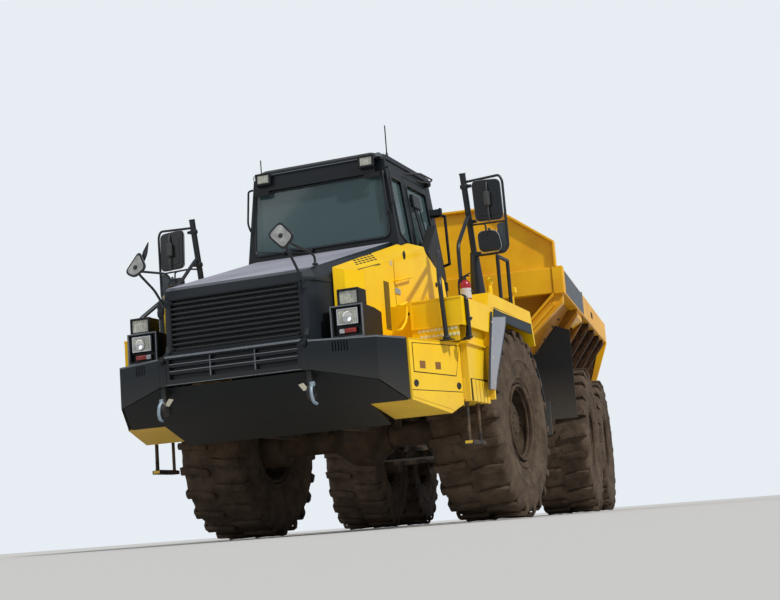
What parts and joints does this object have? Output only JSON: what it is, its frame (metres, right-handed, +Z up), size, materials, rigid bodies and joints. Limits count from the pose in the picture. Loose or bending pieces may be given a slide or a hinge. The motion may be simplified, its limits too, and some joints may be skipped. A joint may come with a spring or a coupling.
{
  "type": "articulated dump truck",
  "caption": "Articulated dump truck: cab and engine section joined by a steering and roll hitch to a six-wheel-drive rear chassis with a tipping body.",
  "frame": {"origin": "on the ground under the middle of the outline of the whole truck", "axes": "-Y is the way the cab faces, +X is the truck's left side, +Z is up; the rear section is turned 8 degrees about the hitch"},
  "size_m": [4.4656, 10.9732, 3.985],
  "materials": {
    "body_yellow": "gloss paint, dusty low down",
    "frame_black": "satin paint with mud",
    "trim_black": "dark blue-grey satin paint",
    "cab_black": "satin paint",
    "cylinder_black": "satin paint",
    "rod_chrome": "polished",
    "cast_grey": "muddy castings",
    "tyre_rubber": "caked with mud",
    "rim_muddy": "caked with mud",
    "glass_green": "tinted",
    "seat_fabric": "woven",
    "dash_plastic": "grained",
    "lamp_black": "moulded",
    "rail_black": "satin paint",
    "guard_grey": "dusty",
    "flap_rubber": "dusty",
    "extinguisher_red": "gloss"
  },
  "bodies": {
    "front": {"front_frame": "frame_black", "steer_brackets": "frame_black", "engine": "cast_grey", "front_axle": "cast_grey", "belly_guard": "frame_black", "bumper": "trim_black", "lower_grille": "trim_black", "side_panels": "body_yellow", "cab_base": "body_yellow", "headlamps": "lamp_black", "side_boxes": "body_yellow", "steps": "body_yellow", "fenders": "body_yellow", "mudguards": "guard_grey", "cab_shell": "cab_black", "cab_roof": "cab_black", "cab_glass": "glass_green", "seat": "seat_fabric", "dashboard": "dash_plastic", "mirrors": "rail_black", "handrails": "rail_black", "air_cleaner": "trim_black", "extinguisher": "extinguisher_red"},
    "hood": {"hood_top": "trim_black", "grille": "trim_black", "hood_mirrors": "rail_black"},
    "door": {"cab_door": "cab_black", "door_glass": "glass_green"},
    "yoke": {"hitch_yoke": "frame_black"},
    "rear": {"rear_frame": "frame_black", "hoist_brackets": "frame_black", "rear_axles": "cast_grey"},
    "dump": {"dump_body": "body_yellow", "mudflaps": "flap_rubber"},
    "hoist_barrel": {"hoist_barrels": "cylinder_black"},
    "hoist_rod": {"hoist_rods": "rod_chrome"},
    "steer_barrel_left": {"steer_barrel_left": "cylinder_black"},
    "steer_rod_left": {"steer_rod_left": "rod_chrome"},
    "steer_barrel_right": {"steer_barrel_right": "cylinder_black"},
    "steer_rod_right": {"steer_rod_right": "rod_chrome"},
    "wheel_front_left": {"tyre_front_left": "tyre_rubber", "rim_front_left": "rim_muddy"},
    "wheel_front_right": {"tyre_front_right": "tyre_rubber", "rim_front_right": "rim_muddy"},
    "wheel_middle_left": {"tyre_middle_left": "tyre_rubber", "rim_middle_left": "rim_muddy"},
    "wheel_middle_right": {"tyre_middle_right": "tyre_rubber", "rim_middle_right": "rim_muddy"},
    "wheel_rear_left": {"tyre_rear_left": "tyre_rubber", "rim_rear_left": "rim_muddy"},
    "wheel_rear_right": {"tyre_rear_right": "tyre_rubber", "rim_rear_right": "rim_muddy"}
  },
  "joints": [
    {"name": "hood_tilt", "type": "hinge", "parent": "front", "child": "hood", "pos_m": [0.3176, -5.1306, 1.6], "axis": [1, 0, 0], "range_deg": [0, 60]},
    {"name": "door_swing", "type": "hinge", "parent": "front", "child": "door", "pos_m": [1.1856, -1.9486, 2.45], "axis": [0, 0, 1], "range_deg": [0, 75]},
    {"name": "steer", "type": "hinge", "parent": "front", "child": "yoke", "pos_m": [0.3176, -0.7406, 1.1], "axis": [0, 0, 1], "range_deg": [-53, 37]},
    {"name": "roll", "type": "hinge", "parent": "yoke", "child": "rear", "pos_m": [0.19235, 0.15064, 1.1], "axis": [-0.1392, 0.9903, 0], "range_deg": [-15, 15]},
    {"name": "dump_tip", "type": "hinge", "parent": "rear", "child": "dump", "pos_m": [-0.41305, 4.45831, 1.45], "axis": [-0.9903, -0.1392, 0], "range_deg": [0, 70]},
    {"name": "hoist_barrel_swing", "type": "hinge", "parent": "rear", "child": "hoist_barrel", "pos_m": [0.05318, 1.14091, 0.86], "axis": [0.9903, 0.1392, 0], "range_deg": [-1, 6.98]},
    {"name": "hoist_rod_slide", "type": "slide", "parent": "hoist_barrel", "child": "hoist_rod", "axis": [-0.127, 0.9039, 0.4086], "range_m": [-0.01, 1.4672]},
    {"name": "steer_barrel_left_swing", "type": "hinge", "parent": "front", "child": "steer_barrel_left", "pos_m": [0.8776, -1.7906, 1.1], "axis": [0, 0, 1], "range_deg": [-12.76, 9.21]},
    {"name": "steer_rod_left_slide", "type": "slide", "parent": "steer_barrel_left", "child": "steer_rod_left", "axis": [-0.1251, 0.9921, 0], "range_m": [-0.3988, 0.2814]},
    {"name": "steer_barrel_right_swing", "type": "hinge", "parent": "front", "child": "steer_barrel_right", "pos_m": [-0.2424, -1.7906, 1.1], "axis": [0, 0, 1], "range_deg": [-13.83, 9.96]},
    {"name": "steer_rod_right_slide", "type": "slide", "parent": "steer_barrel_right", "child": "steer_rod_right", "axis": [0.0565, 0.9984, 0], "range_m": [-0.2694, 0.3816]},
    {"name": "wheel_front_left_spin", "type": "hinge", "parent": "front", "child": "wheel_front_left", "pos_m": [1.6626, -2.3406, 0.93204], "axis": [1, 0, 0], "continuous": true},
    {"name": "wheel_front_right_spin", "type": "hinge", "parent": "front", "child": "wheel_front_right", "pos_m": [-1.0274, -2.3406, 0.93204], "axis": [1, 0, 0], "continuous": true},
    {"name": "wheel_middle_left_spin", "type": "hinge", "parent": "rear", "child": "wheel_middle_left", "pos_m": [1.26679, 2.16983, 0.93204], "axis": [0.9903, 0.1392, 0], "continuous": true},
    {"name": "wheel_middle_right_spin", "type": "hinge", "parent": "rear", "child": "wheel_middle_right", "pos_m": [-1.39703, 1.79545, 0.93204], "axis": [0.9903, 0.1392, 0], "continuous": true},
    {"name": "wheel_rear_left_spin", "type": "hinge", "parent": "rear", "child": "wheel_rear_left", "pos_m": [0.99262, 4.12066, 0.93204], "axis": [0.9903, 0.1392, 0], "continuous": true},
    {"name": "wheel_rear_right_spin", "type": "hinge", "parent": "rear", "child": "wheel_rear_right", "pos_m": [-1.6712, 3.74628, 0.93204], "axis": [0.9903, 0.1392, 0], "continuous": true}
  ],
  "couplings": [
    {"joint": "hoist_barrel_swing", "follows": "dump_tip", "ratio": 0.085431},
    {"joint": "hoist_rod_slide", "follows": "dump_tip", "m_per_rad": 1.1927},
    {"joint": "steer_barrel_left_swing", "follows": "steer", "ratio": 0.22185},
    {"joint": "steer_rod_left_slide", "follows": "steer", "m_per_rad": 0.42034},
    {"joint": "steer_barrel_right_swing", "follows": "steer", "ratio": 0.24215},
    {"joint": "steer_rod_right_slide", "follows": "steer", "m_per_rad": -0.40174}
  ]
}
